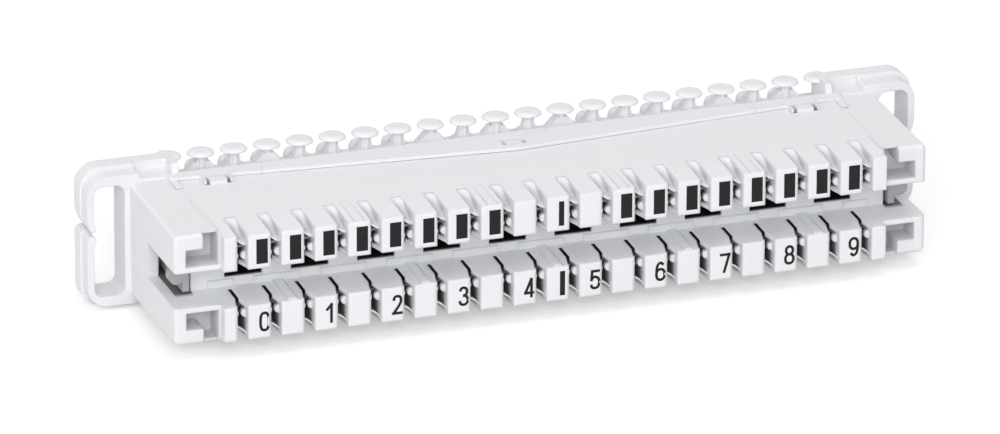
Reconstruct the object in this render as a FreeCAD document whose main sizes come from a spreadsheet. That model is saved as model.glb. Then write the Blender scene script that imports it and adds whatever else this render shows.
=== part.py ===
import FreeCAD, Part
import os
import re
import Sketcher
from FreeCAD import Rotation, Vector

# Ten pair disconnection wiring block, in millimetres.
# X runs along the block, Y runs from the finger fronts to the cable side, Z is up.
# Every outline is drawn about the middle plane between the two contact rows, and
# each sub-part's Placement then lifts it until the cable rings stand on Z = 0.

doc = FreeCAD.newDocument("wiring_block")
sheet = doc.addObject("Spreadsheet::Sheet", "sizes")

driving_sizes = [
    # fingers and slots
    ("slots", 20, "wire slots in each row, two for each pair"),
    ("pitch", 4.85, "slot to slot along the block"),
    ("finger_wide", 3.3, "width of a finger between two slots"),
    ("end_finger", 2.0, "width of the narrow finger at each end of a row"),
    ("finger_cut", 0.36, "bevel on the upright front edges of a finger"),
    ("edge_cut", 0.24, "bevel on the level front edges of a finger"),
    ("face_out", 7.75, "outer edge of a finger front above the middle plane"),
    ("face_in", 2.7, "inner edge of a finger front above the middle plane"),
    ("flare_deep", 4.6, "depth where the steep flare of the fingers ends"),
    ("flare_out", 8.05, "outer face above the middle plane at that depth"),
    ("blend_deep", 12.0, "depth where the row runs into the end blocks"),
    ("blend_out", 8.28, "outer face above the middle plane at that depth"),
    ("mouth_deep", 1.0, "depth of the parallel slot mouth"),
    ("slit_wide", 0.46, "width of the slit behind the funnel"),
    ("funnel_deep", 3.2, "depth where the funnel has closed to the slit"),
    ("slit_deep", 6.4, "depth of the slit"),
    ("lip_tall", 0.6, "thickness of the funnelled inner lip of a row"),
    ("void_deep", 5.0, "depth of the open space in front of a contact"),
    ("ramp_front", 1.3, "depth of the lower end of a wire ramp"),
    ("ramp_foot", 6.05, "lower end of a wire ramp above the middle plane"),
    ("ramp_deep", 6.9, "depth where the wire ramp leaves the outer face"),
    ("ramp_sag", 0.42, "how far the wire ramp is hollowed at its middle"),
    ("bead_round", 0.6, "half width of the beads that pinch a wire in its slot"),
    ("bead_high", 4.3, "bead centre above the middle plane"),
    ("bead_front", 1.7, "depth of the front of the beads"),
    ("bead_thick", 0.8, "length of the beads"),
    ("run_past", 1.0, "how far a cut or a boss runs past the face that it starts from"),
    # middle channel and test windows
    ("channel_in", 2.5, "half height of the middle channel at its back"),
    ("channel_deep", 7.8, "depth of the middle channel"),
    ("strip_proud", 0.25, "how far the keying strip stands out of the channel back"),
    ("strip_top", -1.45, "upper edge of the keying strip"),
    ("notch_wide", 3.0, "width of each notch in the keying strip"),
    ("window_wide", 5.5, "width of a test window"),
    ("window_low", -1.2, "lower edge of a test window"),
    ("window_room", 0.1, "space behind the spring leaves in a test window"),
    # raised marks on the fingers
    ("ridge_wide", 1.4, "width of a raised finger ridge"),
    ("ridge_tall", 0.26, "height of a raised finger ridge at the front"),
    ("ridge_deep", 6.9, "length of a raised finger ridge"),
    ("ridge_start", 0.4, "distance from finger front to ridge"),
    ("ridge_step", 4, "fingers from one ridge to the next"),
    ("upper_ridges", 4, "ridges on the upper row"),
    ("lower_ridges", 5, "ridges on the lower row"),
    # front housing and its end blocks
    ("house_deep", 22.7, "depth of the front housing"),
    ("end_long", 6.6, "length of an end block beyond the end finger"),
    ("rear_out", 8.4, "outer face above the middle plane at the back"),
    ("block_front", 1.8, "how far an end block stands behind the finger fronts"),
    ("block_out", 8.15, "outer face of an end block above the middle plane"),
    ("block_cut", 0.4, "bevel on the level front edges of an end block"),
    ("side_cut", 0.45, "bevel on the outer edges of an end block"),
    ("socket_gap", 0.25, "wall between the end finger and the end socket"),
    ("socket_low", 3.4, "inner wall of the end socket above the middle plane"),
    ("socket_high", 5.95, "lower edge of the corner tab over the socket"),
    ("notch_high", 7.85, "top of the slot beside the corner tab"),
    ("tab_wide", 2.5, "width of the corner tab"),
    ("socket_deep", 5.8, "depth of the end socket"),
    ("notch_back", 1.0, "how far the thin wall over the slot is set back"),
    # side slot with its sprung tongue
    ("slot_half", 2.6, "half height of the side slot"),
    ("slot_deep", 14.65, "depth of the side slot"),
    ("side_wall", 1.65, "thickness of the side wall"),
    ("cavity_wide", 2.4, "width of the tongue cavity"),
    ("cavity_deep", 17.5, "depth of the tongue cavity"),
    ("tongue_gap", 0.35, "gap between the tongue and its inner wall"),
    ("tongue_thick", 1.0, "thickness of the tongue"),
    ("tongue_half", 2.3, "half height of the tongue"),
    ("tongue_front", 6.9, "depth of the tongue's free end"),
    ("snap_round", 1.1, "radius of the snap bead on the tongue"),
    ("snap_off", 0.8, "how far the axis of that bead stands off the tongue"),
    ("snap_long", 1.8, "length of the snap bead"),
    # contacts
    ("tilt", 45, "turn of a contact blade about the depth axis, in degrees"),
    ("blade_high", 4.45, "blade centre above the middle plane"),
    ("blade_wide", 3.4, "width of a contact blade"),
    ("strip_thick", 0.4, "thickness of the contact strip"),
    ("blade_front", 2.65, "depth of the fork tips"),
    ("blade_long", 9.35, "length of a contact blade"),
    ("jaw_gap", 0.24, "cutting gap of the fork"),
    ("jaw_open", 2.9, "opening between the fork tips"),
    ("jaw_lead", 1.75, "length of the lead-in between the fork tips"),
    ("jaw_deep", 6.4, "depth of the cutting gap behind the fork tips"),
    ("leaf_front", 9.6, "depth of the front edge of the spring leaf"),
    ("leaf_long", 2.8, "length of the spring leaf"),
    ("leaf_reach", 0.9, "how far a spring leaf passes the middle plane"),
    ("leaf_gap", 0.06, "gap between the two leaves of a pair of contacts"),
    ("strap_low", 2.4, "inner edge of the strap that holds a contact from behind"),
    ("strap_wide", 2.2, "width of that strap"),
    ("seat_gap", 0.05, "gap between the strap and the rear housing"),
    ("fit", 0.04, "clearance round a contact in its pocket"),
    ("tail_room", 0.5, "space before the spring leaves in their pocket"),
    ("tail_side", 0.4, "space above and below the straps in that pocket"),
    ("tail_wide", 1.0, "width of the pocket for the spring leaves"),
    # rear housing
    ("rear_deep", 9.1, "depth of the rear housing behind the front one"),
    ("rear_past", 0.55, "how far the rear block reaches behind a cable ring"),
    ("rear_ledge", 5.8, "ledge behind the comb above the middle plane"),
    ("valley", 7.4, "comb valley above the middle plane"),
    ("lip_fit", 0.02, "clearance between the lips and the front housing"),
    ("lip_thick", 0.55, "thickness of the lip over the front housing"),
    ("lip_past", 1.2, "how far the lip reaches past the finger rows"),
    ("lip_short", 1.3, "lip in front of the rear housing at its ends"),
    ("lip_rise", 4.1, "how much further the lip reaches in the middle"),
    ("pad_wide", 1.1, "width of the thin pad at each end of a lip"),
    ("pad_long", 3.0, "how far that pad stands out of the lip"),
    ("pad_thick", 0.2, "thickness of that pad"),
    ("under_slope", 2.0, "depth of the slope behind the lower lip"),
    ("catch_wide", 2.5, "width of a catch that holds the lip"),
    ("catch_long", 1.6, "length of a catch"),
    ("catch_tall", 0.45, "height of a catch"),
    ("catch_back", 1.3, "lip left in front of the middle catch"),
    ("catch_gap", 0.12, "space before and behind a catch"),
    ("catch_side", 0.5, "space at each end of a catch"),
    ("ear_wall", 0.35, "wall of the lip's ears beside an outer catch"),
    ("ear_reach", 2.1, "how far those ears stand out of the lip"),
    ("comb_set", 3.9, "distance from the front housing to the comb wall"),
    ("comb_thick", 1.4, "thickness of the comb wall"),
    ("stem_wide", 1.3, "width of a comb stem"),
    ("flare_wide", 1.0, "width of the flare at the foot of a stem"),
    ("flare_tall", 1.4, "height of that flare"),
    ("stem_rib", 0.42, "half width of the rib down the front of a stem"),
    ("gusset", 1.6, "height and width of the gussets beside four of the stems"),
    ("gusset_proud", 0.4, "how far the gussets stand out of the comb wall"),
    ("base_wide", 4.4, "width of the broad foot of three stems"),
    ("base_top", 2.2, "width of the top of that foot"),
    ("base_tall", 1.3, "height of that foot"),
    ("cap_size", 3.85, "diameter of a comb cap"),
    ("cap_thick", 0.5, "thickness of a comb cap"),
    ("cap_drop", 0.05, "how far the caps stay below the top of the rings"),
    ("cap_slope", 55, "slope of a cap's sides from upright, in degrees"),
    ("dome_wide", 2.2, "width of a round topped post behind the comb"),
    ("dome_high", 7.5, "top of those posts above the middle plane"),
    ("dome_thick", 1.2, "thickness of those posts"),
    ("dome_set", 0.3, "distance from those posts to the back"),
    ("dome_run", 7, "posts in each group"),
    ("wall_lap", 0.3, "how far the comb's end wall reaches inside the centre of the end cap"),
    ("wall_thick", 1.05, "thickness of the comb's end wall"),
    ("wall_slope", 0.6, "how far the end wall's front edge leans back"),
    ("trough_floor", 8.8, "floor of the cable trough above the middle plane"),
    ("trough_wall", 2.1, "thickness of the wall behind the trough"),
    # cable rings
    ("ring_lap", 1.6, "how far a cable ring reaches behind the front housing"),
    ("trunk_wide", 2.35, "width of the ring's inner bar"),
    ("loop_wide", 4.5, "width of a ring's opening"),
    ("outer_bar", 1.3, "width of the ring's outer bar"),
    ("level_bar", 2.05, "height of the ring's upper and lower bars"),
    ("ring_half", 10.3, "half height of a cable ring"),
    ("front_layer", 2.6, "thickness of the ring's front layer"),
    ("rear_layer", 2.6, "thickness of the ring's rear layer"),
    ("top_inset", 0.55, "step between the layers above and below"),
    ("side_inset", 0.3, "step between the layers at the outer side"),
    ("ring_round", 3.0, "outer corner radius of a cable ring"),
    ("trunk_cut", 0.35, "bevel where a ring meets the cable trough"),
    ("loop_round", 1.3, "corner radius of a ring's opening"),
    ("hook_top", 4.6, "where the upper arm starts to bend in"),
    ("hook_round", 5.3, "radius of that bend"),
    ("hook_tip", 1.75, "tip of the upper arm above the middle plane"),
    ("hook_lean", 0.17, "slant of the end of the upper arm"),
    ("hook_wide", 0.75, "width of the end of the upper arm"),
    ("head_high", 0.35, "centre of the lower arm's rounded head above the middle plane"),
    ("tip_reach", 0.35, "how far both arm ends reach into the opening"),
    ("tip_run", 1.05, "height over which they reach in"),
]

for row, (alias, value, meaning) in enumerate(driving_sizes, start=1):
    sheet.set(f"A{row}", meaning)
    sheet.set(f"B{row}", str(value))
    sheet.setAlias(f"B{row}", alias)
doc.recompute()

size_names = {alias for alias, value, meaning in driving_sizes}


def bound(text):
    # a size written with plain aliases, as an expression on the sheet
    return re.sub(r"[a-z_]+", lambda word: f"sizes.{word[0]}" if word[0] in size_names else word[0], text)


def number(text):
    return float(sheet.evalExpression(bound(text)))


# Derived places that several sub-parts share, written with the aliases above.
gap_half = "(pitch - finger_wide)/2"
row_half = "(slots*pitch/2 - finger_wide/2 + end_finger)"
first_slot = "(pitch/2 - slots*pitch/2)"
first_finger = "(pitch - slots*pitch/2)"
house_half = f"({row_half} + end_long)"
side_in = f"({house_half} - side_wall)"
cavity_in = f"({side_in} - cavity_wide)"
window_deep = "(leaf_front + leaf_long + window_room)"
strap_high = "(strap_low + strap_wide)"
blade_reach = "(blade_wide/2 + fit)"
full_deep = "(house_deep + rear_deep)"
comb_front = "(house_deep + comb_set)"
comb_back = "(house_deep + comb_set + comb_thick)"
lip_under = "(rear_out + lip_fit)"
lip_half = f"({row_half} + lip_past)"
lip_side = "(house_deep - lip_short)"
lip_mid = "(house_deep - lip_short - lip_rise)"
catch_at = f"(-{first_finger})"
ear_front = f"({lip_mid} + lip_rise*{catch_at}/{lip_half} - ear_reach)"
cap_under = "(ring_half - cap_drop - cap_thick)"
wall_in = "(slots*pitch/2 - wall_lap)"
ring_in = f"({house_half} - ring_lap)"
loop_in = f"({ring_in} + trunk_wide)"
loop_out = f"({loop_in} + loop_wide)"
ring_out = f"({loop_out} + outer_bar)"
loop_half = "(ring_half - level_bar)"
ring_step = "(house_deep + front_layer)"
ring_back = "(house_deep + front_layer + rear_layer)"


def origin_part(body, role):
    return [part for part in body.Origin.OriginFeatures if part.Role == role][0]


def new_body(name, along="0", turned=0):
    # a sub-part, set on the floor plane and centred over its depth
    body = doc.addObject("PartDesign::Body", name)
    body.Label = name
    body.Placement = FreeCAD.Placement(Vector(), Rotation(Vector(0, 1, 0), turned))
    body.setExpression("Placement.Base.x", bound(along))
    body.setExpression("Placement.Base.y", bound(f"-{full_deep}/2"))
    body.setExpression("Placement.Base.z", bound("ring_half"))
    return body


def new_sketch(body, name, plane, offset="0", tilted=None):
    sketch = body.newObject("Sketcher::SketchObject", name)
    sketch.AttachmentSupport = [(origin_part(body, plane), "")]
    sketch.MapMode = "FlatFace"
    if tilted:
        sketch.AttachmentOffset = FreeCAD.Placement(Vector(), Rotation(Vector(0, 1, 0), number(tilted)))
        sketch.setExpression("AttachmentOffset.Rotation.Angle", bound(tilted))
    sketch.setExpression("AttachmentOffset.Base.z", bound(offset))
    return sketch


def tie(sketch, kind, geometry, point, text):
    # one named distance from the sketch's origin, bound to the sheet
    index = sketch.addConstraint(Sketcher.Constraint(kind, -1, 1, geometry, point, number(text)))
    label = f"{kind[-1].lower()}{geometry}"
    sketch.renameConstraint(index, label)
    sketch.setExpression(f"Constraints.{label}", bound(text))


def arc_between(start, end, radius):
    # the short arc from start to end; a positive radius puts its centre on the left
    middle = (start + end)/2
    chord = end - start
    left = Vector(-chord.y, chord.x, 0).normalize()
    rise = max(radius**2 - (chord.Length/2)**2, 0)**0.5
    centre = middle + left*(rise if radius > 0 else -rise)
    first, last = (start, end) if radius > 0 else (end, start)
    spin = [(point - centre).getAngle(Vector(1, 0, 0))*(1 if point.y >= centre.y else -1)
            for point in (first, last)]
    return Part.ArcOfCircle(Part.Circle(centre, Vector(0, 0, 1), abs(radius)), *spin)


def outline(sketch, corners):
    # a closed outline; a corner with a third entry starts an arc of that radius
    places = [Vector(number(corner[0]), number(corner[1]), 0) for corner in corners]
    first = sketch.GeometryCount
    ends = []
    for step, corner in enumerate(corners):
        start, end = places[step], places[(step + 1) % len(corners)]
        if len(corner) == 3:
            radius = number(corner[2])
            index = sketch.addGeometry(arc_between(start, end, radius), False)
            ends.append((1, 2) if radius > 0 else (2, 1))
            rule = sketch.addConstraint(Sketcher.Constraint("Radius", index, abs(radius)))
            sketch.renameConstraint(rule, f"r{index}")
            size = corner[2] if radius > 0 else f"-({corner[2]})"
            sketch.setExpression(f"Constraints.r{index}", bound(size))
        else:
            sketch.addGeometry(Part.LineSegment(start, end), False)
            ends.append((1, 2))
    for step, corner in enumerate(corners):
        after = (step + 1) % len(corners)
        sketch.addConstraint(Sketcher.Constraint(
            "Coincident", first + step, ends[step][1], first + after, ends[after][0]))
        tie(sketch, "DistanceX", first + step, ends[step][0], corner[0])
        tie(sketch, "DistanceY", first + step, ends[step][0], corner[1])


def disc(sketch, across, up, radius):
    circle = Part.Circle(Vector(number(across), number(up), 0), Vector(0, 0, 1), number(radius))
    index = sketch.addGeometry(circle, False)
    tie(sketch, "DistanceX", index, 3, across)
    tie(sketch, "DistanceY", index, 3, up)
    rule = sketch.addConstraint(Sketcher.Constraint("Radius", index, number(radius)))
    sketch.renameConstraint(rule, f"r{index}")
    sketch.setExpression(f"Constraints.r{index}", bound(radius))


def mirrored(corners):
    # the same outline on the other side of the sketch's level axis
    other = []
    for corner in corners:
        turned = [corner[0], f"-({corner[1]})"]
        if len(corner) == 3:
            turned.append(f"-({corner[2]})")
        other.append(tuple(turned))
    return other


def box_corners(left, low, right, high):
    return [(left, low), (right, low), (right, high), (left, high)]


def many_sided(across, up, radius, sides):
    # corners of a regular outline drawn inside a circle, starting on its right
    return [(f"{across} + {radius}*cos({360/sides*step:g})", f"{up} + {radius}*sin({360/sides*step:g})")
            for step in range(sides)]


def extrude(body, kind, name, sketch, length, both=False, backwards=False):
    feature = body.newObject(f"PartDesign::{kind}", name)
    feature.Profile = sketch
    feature.SideType = "Symmetric" if both else "One side"
    feature.Reversed = backwards
    feature.Refine = False
    feature.setExpression("Length", bound(length))
    return feature


def along_block(body, name, features, count, spacing):
    pattern = body.newObject("PartDesign::LinearPattern", name)
    pattern.Originals = features
    pattern.Direction = (origin_part(body, "X_Axis"), [""])
    pattern.Mode = "Spacing"
    pattern.Refine = False
    pattern.setExpression("Offset", bound(spacing))
    pattern.setExpression("Occurrences", bound(count))
    body.Tip = pattern
    return pattern


def other_end(body, name, features):
    mirror = body.newObject("PartDesign::Mirrored", name)
    mirror.Originals = features
    mirror.MirrorPlane = (origin_part(body, "YZ_Plane"), [""])
    mirror.Refine = False
    body.Tip = mirror
    return mirror


def front_rows(body):
    # both rows of fingers with the channel between them, before the slots are cut
    sketch = new_sketch(body, "row_section", "YZ_Plane")
    upper = [
        ("0", "face_in + edge_cut"), ("0", "face_out - edge_cut"), ("edge_cut", "face_out"),
        ("flare_deep", "flare_out"), ("blend_deep", "blend_out"), ("house_deep", "rear_out"),
    ]
    lower = [(depth, f"-({height})") for depth, height in reversed(upper)]
    channel = [
        ("edge_cut", "-face_in"), ("channel_deep - strip_proud", "-channel_in"),
        ("channel_deep - strip_proud", "strip_top"), ("channel_deep", "strip_top"),
        ("channel_deep", "channel_in"), ("edge_cut", "face_in"),
    ]
    outline(sketch, upper + lower + channel)
    extrude(body, "Pad", "rows", sketch, f"2*{row_half}", both=True)


def slot_cuts(body):
    # one slot through both rows with its funnel, and the ramps a wire leaves by
    left, right = f"{first_slot} - {gap_half}", f"{first_slot} + {gap_half}"
    mouth = new_sketch(body, "mouth_plan", "XY_Plane")
    outline(mouth, [
        (f"{left} - 2*finger_cut", "-finger_cut"), (left, "finger_cut"), (left, "mouth_deep"),
        (right, "mouth_deep"), (right, "finger_cut"), (f"{right} + 2*finger_cut", "-finger_cut"),
    ])
    mouth_cut = extrude(body, "Pocket", "slot_mouth", mouth, "3*rear_out", both=True)

    funnel = new_sketch(body, "funnel_plan", "XY_Plane")
    outline(funnel, [
        (left, "mouth_deep/2"), (left, "mouth_deep"), (f"{first_slot} - slit_wide/2", "funnel_deep"),
        (f"{first_slot} - slit_wide/2", "slit_deep"), (f"{first_slot} + slit_wide/2", "slit_deep"),
        (f"{first_slot} + slit_wide/2", "funnel_deep"), (right, "mouth_deep"),
        (right, "mouth_deep/2"),
    ])
    funnel_cut = extrude(body, "Pocket", "slot_funnel", funnel, "2*(face_in + lip_tall)", both=True)

    # the space before each blade ends square to the blade, so its outer edge slants
    void = new_sketch(body, "void_face", "XZ_Plane")
    near = f"(blade_high + ({blade_reach} - {gap_half}*cos(tilt))/sin(tilt))"
    far = f"(blade_high + ({blade_reach} + {gap_half}*cos(tilt))/sin(tilt))"
    outline(void, [(left, "face_in + lip_tall"), (right, "face_in + lip_tall"), (right, near), (left, far)])
    outline(void, [(right, "-face_in - lip_tall"), (left, "-face_in - lip_tall"),
                   (left, f"-{near}"), (right, f"-{far}")])
    void_cut = extrude(body, "Pocket", "slot_void", void, "void_deep")

    side = new_sketch(body, "ramp_section", "YZ_Plane", offset=first_slot)
    upper = [
        ("mouth_deep/2", "ramp_foot"), ("ramp_front", "ramp_foot"),
        ("(ramp_front + ramp_deep)/2", "(ramp_foot + blend_out)/2 - ramp_sag"),
        ("ramp_deep", "blend_out"), ("ramp_deep", "rear_out + run_past"),
        ("mouth_deep/2", "rear_out + run_past"),
    ]
    outline(side, upper)
    outline(side, mirrored(upper))
    ramp_cut = extrude(body, "Pocket", "slot_ramp", side, f"2*{gap_half}", both=True)

    beads = new_sketch(body, "bead_pair_face", "XZ_Plane", offset="-bead_front")
    for across in (left, right):
        for up in ("bead_high", "-bead_high"):
            corners = many_sided(up, across, "bead_round", 6)
            outline(beads, [(sideways, level) for level, sideways in corners])
    bead_pad = extrude(body, "Pad", "wire_beads", beads, "bead_thick", backwards=True)
    return [mouth_cut, funnel_cut, void_cut, ramp_cut, bead_pad]


def contact_pockets(body):
    # a tilted pocket for each blade and an upright one for the two spring leaves
    blades = new_sketch(body, "blade_pockets", "XZ_Plane", offset="-house_deep")
    along, thick = blade_reach, "(strip_thick/2 + fit)"
    for side in ("blade_high", "-blade_high"):
        outline(blades, [
            (f"{first_slot} {p} {along}*cos(tilt) {q} {thick}*sin(tilt)",
             f"{side} {p} {along}*sin(tilt) {r} {thick}*cos(tilt)")
            for p, q, r in (("+", "+", "-"), ("+", "-", "+"), ("-", "-", "+"), ("-", "+", "-"))
        ])
    blade_cut = extrude(body, "Pocket", "blade_pocket", blades, "house_deep - blade_front + fit",
                        backwards=True)
    tails = new_sketch(body, "tail_pockets", "XZ_Plane", offset="-house_deep")
    outline(tails, box_corners(f"{first_slot} - tail_wide/2", f"-({strap_high} + tail_side)",
                               f"{first_slot} + tail_wide/2", f"{strap_high} + tail_side"))
    tail_cut = extrude(body, "Pocket", "tail_pocket", tails, "house_deep - leaf_front + tail_room",
                       backwards=True)
    return [blade_cut, tail_cut]


def test_windows(body):
    # one window for each pair, and a notch in the keying strip under it
    window = new_sketch(body, "window_face", "XZ_Plane", offset="-(channel_deep - run_past)")
    outline(window, box_corners(f"{first_finger} - window_wide/2", "window_low",
                                f"{first_finger} + window_wide/2", "channel_in"))
    window_cut = extrude(body, "Pocket", "test_window", window, f"{window_deep} - channel_deep + run_past")
    along_block(body, "test_windows", [window_cut], "slots/2", "2*pitch")
    notch = new_sketch(body, "notch_face", "XZ_Plane", offset="-(channel_deep - run_past)")
    outline(notch, box_corners(f"{first_finger} - notch_wide/2", "-channel_in",
                               f"{first_finger} + notch_wide/2", "strip_top"))
    notch_cut = extrude(body, "Pocket", "strip_notch", notch, "run_past")
    along_block(body, "strip_notches", [notch_cut], "slots/2", "2*pitch")


def finger_ridges(body):
    # raised strips on top of every fourth finger of each row
    upper = new_sketch(body, "upper_ridge_side", "YZ_Plane",
                       offset="ridge_step*pitch - slots*pitch/2")
    outline(upper, [
        ("ridge_start", "face_out - run_past"), ("ridge_start", "face_out + ridge_tall"),
        ("ridge_deep", "flare_out + ridge_tall/2"), ("ridge_deep", "face_out - run_past"),
    ])
    upper_pad = extrude(body, "Pad", "upper_ridge", upper, "ridge_wide", both=True)
    along_block(body, "upper_ridge_row", [upper_pad], "upper_ridges", "ridge_step*pitch")
    lower = new_sketch(body, "lower_ridge_side", "YZ_Plane",
                       offset="ridge_step*pitch/2 - slots*pitch/2")
    outline(lower, [
        ("ridge_start", "-face_in - run_past"), ("ridge_start", "-face_in + ridge_tall"),
        ("channel_deep - strip_proud", "-channel_in + ridge_tall"),
        ("channel_deep - strip_proud", "-face_in - run_past"),
    ])
    lower_pad = extrude(body, "Pad", "lower_ridge", lower, "ridge_wide", both=True)
    along_block(body, "lower_ridge_row", [lower_pad], "lower_ridges", "ridge_step*pitch")


def end_blocks(body):
    # one end block with its two sockets, side slot and sprung tongue, and its mirror image
    section = new_sketch(body, "block_section", "YZ_Plane", offset=row_half)
    outline(section, [
        ("block_front", "-block_out + block_cut"), ("block_front", "block_out - block_cut"),
        ("block_front + block_cut", "block_out"), ("house_deep", "rear_out"),
        ("house_deep", "-rear_out"), ("block_front + block_cut", "-block_out"),
    ])
    block = extrude(body, "Pad", "end_block", section, "end_long")

    sockets = new_sketch(body, "socket_face", "XZ_Plane")
    tab_edge = f"({side_in} - tab_wide)"
    upper = [
        (f"{row_half} + socket_gap", "socket_low"), (side_in, "socket_low"),
        (side_in, "socket_high"), (tab_edge, "socket_high"), (tab_edge, "notch_high"),
        (f"{row_half} + socket_gap", "notch_high"),
    ]
    outline(sockets, upper)
    outline(sockets, mirrored(upper))
    socket = extrude(body, "Pocket", "end_sockets", sockets, "socket_deep")

    relief = new_sketch(body, "notch_relief", "XZ_Plane")
    upper = box_corners(f"{row_half} + socket_gap", "notch_high", tab_edge, "rear_out + run_past")
    outline(relief, upper)
    outline(relief, mirrored(upper))
    relief_cut = extrude(body, "Pocket", "notch_reliefs", relief, "block_front + notch_back")

    recess = new_sketch(body, "recess_face", "XZ_Plane")
    outline(recess, box_corners(row_half, "-slot_half", f"{house_half} + run_past", "slot_half"))
    recess_cut = extrude(body, "Pocket", "slot_recess", recess, "channel_deep")
    cavity = new_sketch(body, "cavity_face", "XZ_Plane")
    outline(cavity, box_corners(cavity_in, "-slot_half", side_in, "slot_half"))
    cavity_cut = extrude(body, "Pocket", "tongue_cavity", cavity, "cavity_deep")
    slot = new_sketch(body, "side_slot_face", "XZ_Plane")
    outline(slot, box_corners(side_in, "-slot_half", f"{house_half} + run_past", "slot_half"))
    slot_cut = extrude(body, "Pocket", "side_slot", slot, "slot_deep")

    tongue = new_sketch(body, "tongue_plan", "XY_Plane")
    outline(tongue, box_corners(f"{cavity_in} + tongue_gap", "tongue_front",
                                f"{cavity_in} + tongue_gap + tongue_thick", "cavity_deep + run_past"))
    tongue_pad = extrude(body, "Pad", "tongue", tongue, "2*tongue_half", both=True)
    bead = new_sketch(body, "bead_face", "XZ_Plane", offset="-tongue_front")
    disc(bead, f"{cavity_in} + tongue_gap + tongue_thick + snap_off", "0", "snap_round")
    bead_pad = extrude(body, "Pad", "snap_bead", bead, "snap_long", backwards=True)
    both_ends = other_end(body, "other_end_block", [
        block, socket, relief_cut, recess_cut, cavity_cut, slot_cut, tongue_pad, bead_pad])

    # the outer edges of the blocks are bevelled, all but their back edges
    doc.recompute()
    half, front, back = number(house_half), number("block_front + block_cut"), number("house_deep")
    rim = []
    for place, edge in enumerate(both_ends.Shape.Edges, start=1):
        span = edge.BoundBox
        on_side = abs(span.XMin - span.XMax) < 0.001 and abs(abs(span.XMin) - half) < 0.001
        level = min(abs(span.ZMin), abs(span.ZMax)) > number("block_out - block_cut") - 0.001
        if on_side and span.YMin < back - 0.001 and (level or span.YMax < front):
            rim.append(f"Edge{place}")
    bevelled = body.newObject("PartDesign::Chamfer", "outer_edges")
    bevelled.Base = (both_ends, rim)
    bevelled.Refine = False
    bevelled.setExpression("Size", bound("side_cut"))
    body.Tip = bevelled


def front_housing():
    body = new_body("front_housing")
    front_rows(body)
    end_blocks(body)
    test_windows(body)
    finger_ridges(body)
    catches(body)
    cuts = slot_cuts(body) + contact_pockets(body)
    along_block(body, "slot_row", cuts, "slots", "pitch")
    return body


def rear_block(body):
    # the closed rear block with its sloping top and, at each end, the cable trough
    section = new_sketch(body, "rear_section", "YZ_Plane")
    outline(section, [
        ("house_deep", f"{lip_under} + lip_thick"), (comb_front, "valley"), (comb_back, "valley"),
        (comb_back, "rear_ledge"), (full_deep, "rear_ledge"), (full_deep, "-rear_out"),
        ("house_deep + under_slope", "-rear_out"), ("house_deep", f"-({lip_under} + lip_thick)"),
    ])
    extrude(body, "Pad", "rear_block", section, f"2*{wall_in} + wall_thick", both=True)
    trough = new_sketch(body, "trough_section", "YZ_Plane", offset=wall_in)
    outline(trough, [
        ("house_deep", "-rear_out"), ("house_deep", "trough_floor"),
        (f"{ring_back} - trough_wall", "trough_floor"), (f"{ring_back} - trough_wall", "ring_half"),
        (ring_back, "ring_half"), (ring_back, "rear_ledge"), (full_deep, "rear_ledge"),
        (full_deep, "-rear_out"),
    ])
    trough_pad = extrude(body, "Pad", "trough", trough, f"{ring_in} + rear_past - {wall_in}")
    wall = new_sketch(body, "wall_side", "YZ_Plane", offset=wall_in)
    outline(wall, [
        ("house_deep", "rear_ledge"), ("house_deep", "rear_out"),
        ("house_deep + wall_slope", "ring_half"), (f"{comb_back} + wall_slope", "ring_half"),
        (f"{comb_back} + wall_slope", "rear_ledge"),
    ])
    wall_pad = extrude(body, "Pad", "comb_end_wall", wall, "wall_thick")
    other_end(body, "other_trough", [trough_pad, wall_pad])


def catch_places():
    # the middle catch stands behind the lip's apex, the outer two in its ears
    sides = [(f"-{catch_at}", ear_front), ("0", f"{lip_mid} + catch_back + catch_gap"), (catch_at, ear_front)]
    return [box_corners(f"{along} - catch_wide/2", near, f"{along} + catch_wide/2", f"{near} + catch_long")
            for along, near in sides]


def catches(body):
    # three low catches above and below that snap into the lips of the rear housing
    for name, level, below in (("upper", "rear_out - catch_tall", False),
                               ("lower", "catch_tall - rear_out", True)):
        plan = new_sketch(body, f"{name}_catch_plan", "XY_Plane", offset=level)
        for corners in catch_places():
            outline(plan, corners)
        extrude(body, "Pad", f"{name}_catches", plan, "2*catch_tall", backwards=below)


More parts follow.
